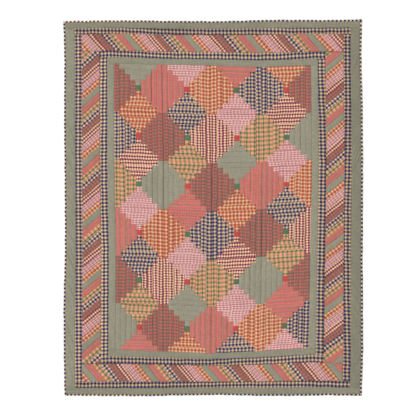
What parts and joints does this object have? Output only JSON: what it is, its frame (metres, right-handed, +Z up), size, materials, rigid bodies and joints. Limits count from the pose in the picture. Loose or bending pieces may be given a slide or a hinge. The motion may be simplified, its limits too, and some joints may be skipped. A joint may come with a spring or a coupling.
{
  "type": "patchwork quilt",
  "caption": "Rectangular log cabin patchwork quilt lying flat, with checked, plain and slant-pieced borders and a narrow check binding.",
  "frame": {"origin": "middle of the quilt's outline, on the surface it lies on", "axes": "+Z up out of the quilt's face, +Y towards its head along the longer side, +X to the right of someone looking down at the face"},
  "size_m": [1.7337, 2.1776, 0.0052],
  "materials": {
    "patchwork_cotton": "matt woven cotton, checked and striped",
    "plain_cotton": "matt plain woven cotton, grey green",
    "check_cotton": "matt woven cotton, dark blue and tan check",
    "binding_cotton": "matt woven cotton, dark blue and tan check"
  },
  "bodies": {
    "root": {"block_r1_c1": "patchwork_cotton", "block_r1_c2": "patchwork_cotton", "block_r1_c3": "patchwork_cotton", "block_r1_c4": "patchwork_cotton", "block_r2_c1": "patchwork_cotton", "block_r2_c2": "patchwork_cotton", "block_r2_c3": "patchwork_cotton", "block_r2_c4": "patchwork_cotton", "block_r3_c1": "patchwork_cotton", "block_r3_c2": "patchwork_cotton", "block_r3_c3": "patchwork_cotton", "block_r3_c4": "patchwork_cotton", "block_r4_c1": "patchwork_cotton", "block_r4_c2": "patchwork_cotton", "block_r4_c3": "patchwork_cotton", "block_r4_c4": "patchwork_cotton", "block_r5_c1": "patchwork_cotton", "block_r5_c2": "patchwork_cotton", "block_r5_c3": "patchwork_cotton", "block_r5_c4": "patchwork_cotton", "block_r6_c1": "patchwork_cotton", "block_r6_c2": "patchwork_cotton", "block_r6_c3": "patchwork_cotton", "block_r6_c4": "patchwork_cotton", "inner_plain_top": "plain_cotton", "inner_plain_bottom": "plain_cotton", "inner_plain_left": "plain_cotton", "inner_plain_right": "plain_cotton", "inner_check_top": "check_cotton", "inner_check_bottom": "check_cotton", "inner_check_left": "check_cotton", "inner_check_right": "check_cotton", "pieced_top": "patchwork_cotton", "pieced_bottom": "patchwork_cotton", "pieced_left": "patchwork_cotton", "pieced_right": "patchwork_cotton", "outer_check_top": "check_cotton", "outer_check_bottom": "check_cotton", "outer_check_left": "check_cotton", "outer_check_right": "check_cotton", "outer_plain_top": "plain_cotton", "outer_plain_bottom": "plain_cotton", "outer_plain_left": "plain_cotton", "outer_plain_right": "plain_cotton", "binding_top": "binding_cotton", "binding_bottom": "binding_cotton", "binding_left": "binding_cotton", "binding_right": "binding_cotton"}
  },
  "joints": []
}
